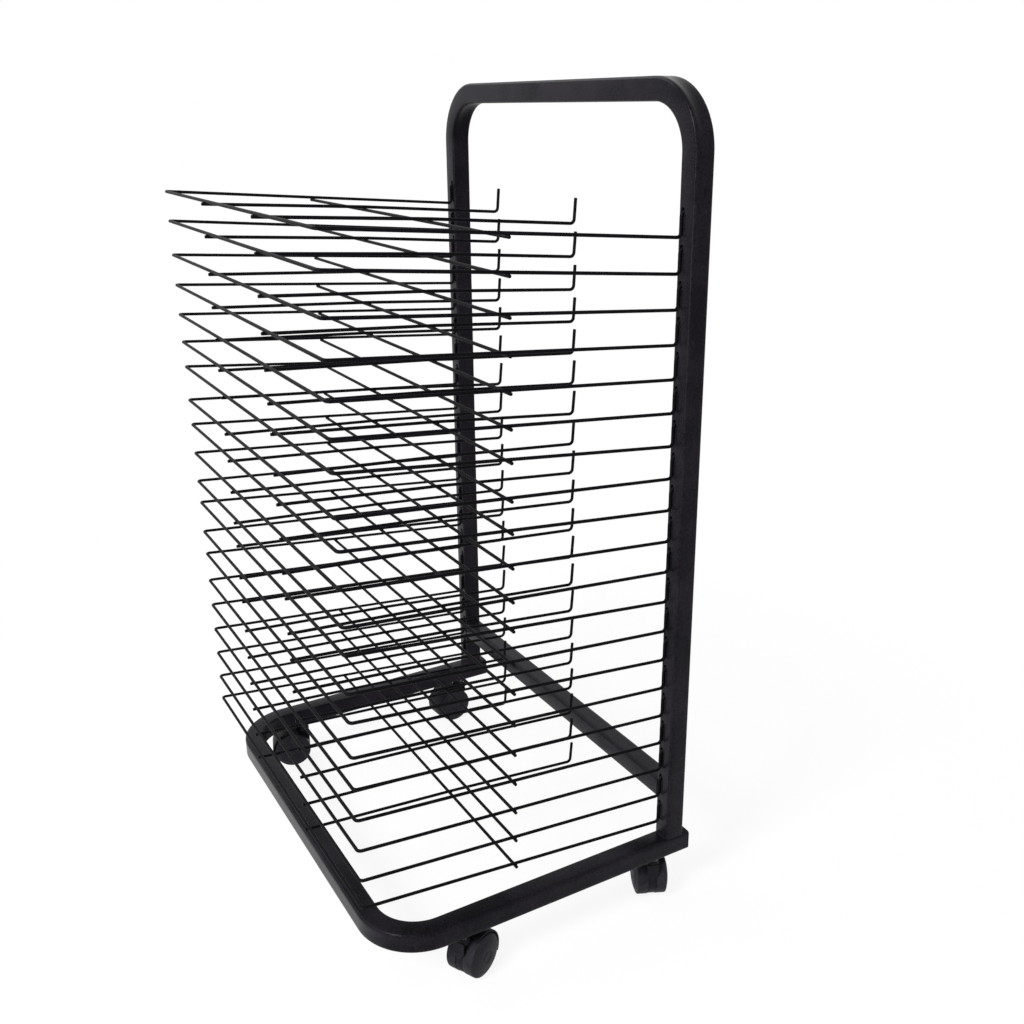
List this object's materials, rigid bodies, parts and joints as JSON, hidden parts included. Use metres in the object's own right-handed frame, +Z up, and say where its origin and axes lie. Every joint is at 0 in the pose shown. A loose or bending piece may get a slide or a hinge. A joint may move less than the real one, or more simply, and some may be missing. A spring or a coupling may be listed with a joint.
{
  "type": "art drying rack",
  "caption": "Wheeled rack for drying wet artwork: a bent square tube frame with a stack of hook-on wire shelves open at the front and sides.",
  "frame": {"origin": "on the floor, midway between the posts and midway between the front ends of the shelves and the rear ends of the base", "axes": "+X across the rack from post to post, +Y towards the posts, -Y out of the open front, +Z up"},
  "size_m": [0.4702, 0.347, 0.782],
  "materials": {
    "frame_coat": "satin black powder coat",
    "wire_coat": "satin black powder coat",
    "plug_plastic": "moulded black",
    "castor_plastic": "moulded black",
    "wheel_plastic": "moulded black",
    "zinc_steel": "black passivated zinc"
  },
  "bodies": {
    "frame": {"upright_frame": "frame_coat", "base_frame": "frame_coat", "rear_crossbar": "frame_coat", "rail_end_plugs": "plug_plastic", "castor_inserts": "zinc_steel", "castor_stems": "zinc_steel"},
    "shelf_01": {"shelf_01": "wire_coat"},
    "shelf_02": {"shelf_02": "wire_coat"},
    "shelf_03": {"shelf_03": "wire_coat"},
    "shelf_04": {"shelf_04": "wire_coat"},
    "shelf_05": {"shelf_05": "wire_coat"},
    "shelf_06": {"shelf_06": "wire_coat"},
    "shelf_07": {"shelf_07": "wire_coat"},
    "shelf_08": {"shelf_08": "wire_coat"},
    "shelf_09": {"shelf_09": "wire_coat"},
    "shelf_10": {"shelf_10": "wire_coat"},
    "shelf_11": {"shelf_11": "wire_coat"},
    "shelf_12": {"shelf_12": "wire_coat"},
    "shelf_13": {"shelf_13": "wire_coat"},
    "shelf_14": {"shelf_14": "wire_coat"},
    "shelf_15": {"shelf_15": "wire_coat"},
    "shelf_16": {"shelf_16": "wire_coat"},
    "shelf_17": {"shelf_17": "wire_coat"},
    "shelf_18": {"shelf_18": "wire_coat"},
    "shelf_19": {"shelf_19": "wire_coat"},
    "shelf_20": {"shelf_20": "wire_coat"},
    "castor_right_front": {"castor_hood_right_front": "castor_plastic", "castor_axle_right_front": "zinc_steel"},
    "wheels_right_front": {"castor_wheels_right_front": "wheel_plastic"},
    "castor_right_rear": {"castor_hood_right_rear": "castor_plastic", "castor_axle_right_rear": "zinc_steel"},
    "wheels_right_rear": {"castor_wheels_right_rear": "wheel_plastic"},
    "castor_left_front": {"castor_hood_left_front": "castor_plastic", "castor_axle_left_front": "zinc_steel"},
    "wheels_left_front": {"castor_wheels_left_front": "wheel_plastic"},
    "castor_left_rear": {"castor_hood_left_rear": "castor_plastic", "castor_axle_left_rear": "zinc_steel"},
    "wheels_left_rear": {"castor_wheels_left_rear": "wheel_plastic"}
  },
  "joints": [
    {"name": "shelf_01_lift", "type": "hinge", "parent": "frame", "child": "shelf_01", "pos_m": [0, 0.1462, 0.676], "axis": [-1, 0, 0], "range_deg": [0, 65]},
    {"name": "shelf_02_lift", "type": "hinge", "parent": "frame", "child": "shelf_02", "pos_m": [0, 0.1462, 0.646], "axis": [-1, 0, 0], "range_deg": [0, 4]},
    {"name": "shelf_03_lift", "type": "hinge", "parent": "frame", "child": "shelf_03", "pos_m": [0, 0.1462, 0.616], "axis": [-1, 0, 0], "range_deg": [0, 4.9]},
    {"name": "shelf_04_lift", "type": "hinge", "parent": "frame", "child": "shelf_04", "pos_m": [0, 0.1462, 0.586], "axis": [-1, 0, 0], "range_deg": [0, 4.3]},
    {"name": "shelf_05_lift", "type": "hinge", "parent": "frame", "child": "shelf_05", "pos_m": [0, 0.1462, 0.556], "axis": [-1, 0, 0], "range_deg": [0, 4.3]},
    {"name": "shelf_06_lift", "type": "hinge", "parent": "frame", "child": "shelf_06", "pos_m": [0, 0.1462, 0.526], "axis": [-1, 0, 0], "range_deg": [0, 4]},
    {"name": "shelf_07_lift", "type": "hinge", "parent": "frame", "child": "shelf_07", "pos_m": [0, 0.1462, 0.496], "axis": [-1, 0, 0], "range_deg": [0, 3.6]},
    {"name": "shelf_08_lift", "type": "hinge", "parent": "frame", "child": "shelf_08", "pos_m": [0, 0.1462, 0.466], "axis": [-1, 0, 0], "range_deg": [0, 5.3]},
    {"name": "shelf_09_lift", "type": "hinge", "parent": "frame", "child": "shelf_09", "pos_m": [0, 0.1462, 0.436], "axis": [-1, 0, 0], "range_deg": [0, 3.7]},
    {"name": "shelf_10_lift", "type": "hinge", "parent": "frame", "child": "shelf_10", "pos_m": [0, 0.1462, 0.406], "axis": [-1, 0, 0], "range_deg": [0, 4.6]},
    {"name": "shelf_11_lift", "type": "hinge", "parent": "frame", "child": "shelf_11", "pos_m": [0, 0.1462, 0.376], "axis": [-1, 0, 0], "range_deg": [0, 4.6]},
    {"name": "shelf_12_lift", "type": "hinge", "parent": "frame", "child": "shelf_12", "pos_m": [0, 0.1462, 0.346], "axis": [-1, 0, 0], "range_deg": [0, 3.3]},
    {"name": "shelf_13_lift", "type": "hinge", "parent": "frame", "child": "shelf_13", "pos_m": [0, 0.1462, 0.316], "axis": [-1, 0, 0], "range_deg": [0, 5]},
    {"name": "shelf_14_lift", "type": "hinge", "parent": "frame", "child": "shelf_14", "pos_m": [0, 0.1462, 0.286], "axis": [-1, 0, 0], "range_deg": [0, 3.6]},
    {"name": "shelf_15_lift", "type": "hinge", "parent": "frame", "child": "shelf_15", "pos_m": [0, 0.1462, 0.256], "axis": [-1, 0, 0], "range_deg": [0, 4.7]},
    {"name": "shelf_16_lift", "type": "hinge", "parent": "frame", "child": "shelf_16", "pos_m": [0, 0.1462, 0.226], "axis": [-1, 0, 0], "range_deg": [0, 4.3]},
    {"name": "shelf_17_lift", "type": "hinge", "parent": "frame", "child": "shelf_17", "pos_m": [0, 0.1462, 0.196], "axis": [-1, 0, 0], "range_deg": [0, 4.3]},
    {"name": "shelf_18_lift", "type": "hinge", "parent": "frame", "child": "shelf_18", "pos_m": [0, 0.1462, 0.166], "axis": [-1, 0, 0], "range_deg": [0, 4.3]},
    {"name": "shelf_19_lift", "type": "hinge", "parent": "frame", "child": "shelf_19", "pos_m": [0, 0.1462, 0.136], "axis": [-1, 0, 0], "range_deg": [0, 4.3]},
    {"name": "shelf_20_lift", "type": "hinge", "parent": "frame", "child": "shelf_20", "pos_m": [0, 0.1462, 0.106], "axis": [-1, 0, 0], "range_deg": [0, 3.9]},
    {"name": "castor_right_front_swivel", "type": "hinge", "parent": "frame", "child": "castor_right_front", "pos_m": [0.215, -0.07755, 0.046], "axis": [0, 0, 1], "continuous": true},
    {"name": "wheels_right_front_roll", "type": "hinge", "parent": "castor_right_front", "child": "wheels_right_front", "pos_m": [0.20908, -0.06542, 0.021], "axis": [-0.8988, -0.4384, 0], "continuous": true},
    {"name": "castor_right_rear_swivel", "type": "hinge", "parent": "frame", "child": "castor_right_rear", "pos_m": [0.215, 0.13545, 0.046], "axis": [0, 0, 1], "continuous": true},
    {"name": "wheels_right_rear_roll", "type": "hinge", "parent": "castor_right_rear", "child": "wheels_right_rear", "pos_m": [0.20277, 0.14115, 0.021], "axis": [-0.4226, -0.9063, 0], "continuous": true},
    {"name": "castor_left_front_swivel", "type": "hinge", "parent": "frame", "child": "castor_left_front", "pos_m": [-0.215, -0.07755, 0.046], "axis": [0, 0, 1], "continuous": true},
    {"name": "wheels_left_front_roll", "type": "hinge", "parent": "castor_left_front", "child": "wheels_left_front", "pos_m": [-0.21895, -0.09046, 0.021], "axis": [0.9563, -0.2924, 0], "continuous": true},
    {"name": "castor_left_rear_swivel", "type": "hinge", "parent": "frame", "child": "castor_left_rear", "pos_m": [-0.215, 0.13545, 0.046], "axis": [0, 0, 1], "continuous": true},
    {"name": "wheels_left_rear_roll", "type": "hinge", "parent": "castor_left_rear", "child": "wheels_left_rear", "pos_m": [-0.21382, 0.122, 0.021], "axis": [0.9962, 0.0872, 0], "continuous": true}
  ]
}
